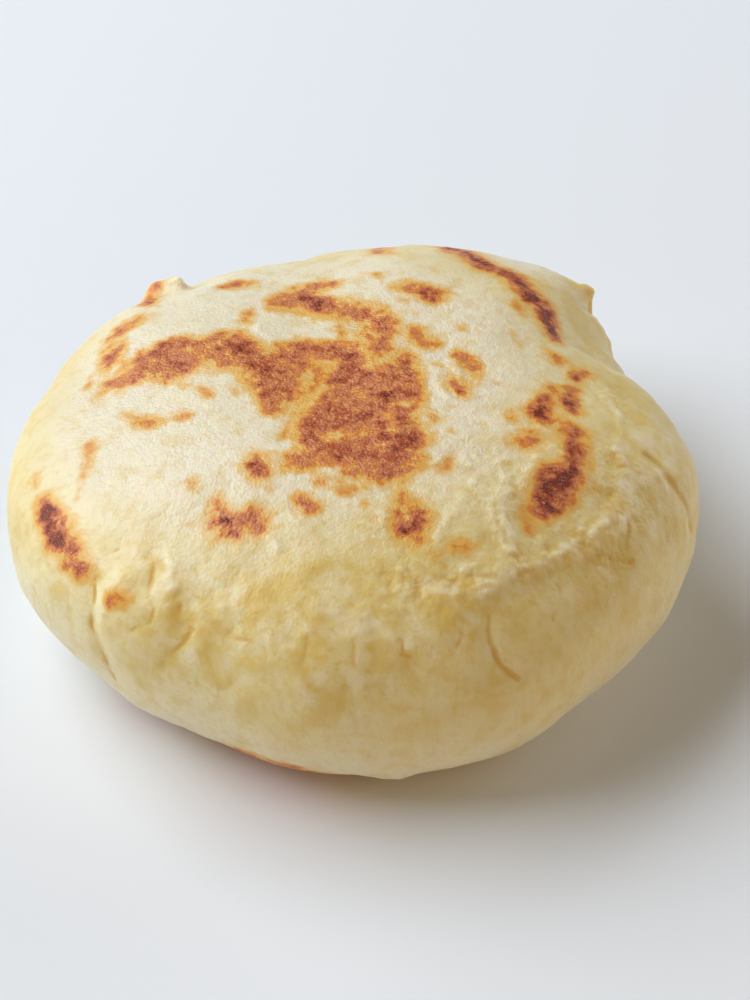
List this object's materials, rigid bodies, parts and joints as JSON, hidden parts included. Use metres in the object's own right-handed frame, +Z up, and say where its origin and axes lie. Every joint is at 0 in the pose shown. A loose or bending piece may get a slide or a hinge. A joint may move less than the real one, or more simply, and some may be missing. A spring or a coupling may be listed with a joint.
{
  "type": "stuffed cassava arepa",
  "caption": "Stuffed cassava arepa: a thick, shut, puffed round of pale dough with a griddled top, a crumbly front edge and a flat lower face to lie on.",
  "frame": {"origin": "middle of the arepa's box on the surface it lies on", "axes": "+Z up out of the griddled top face, +X to the right along its widest extent, +Y to the back, away from the crumbly front edge"},
  "size_m": [0.1006, 0.0996, 0.0382],
  "materials": {
    "griddled_dough": "satin"
  },
  "bodies": {
    "root": {"arepa": "griddled_dough"}
  },
  "joints": []
}
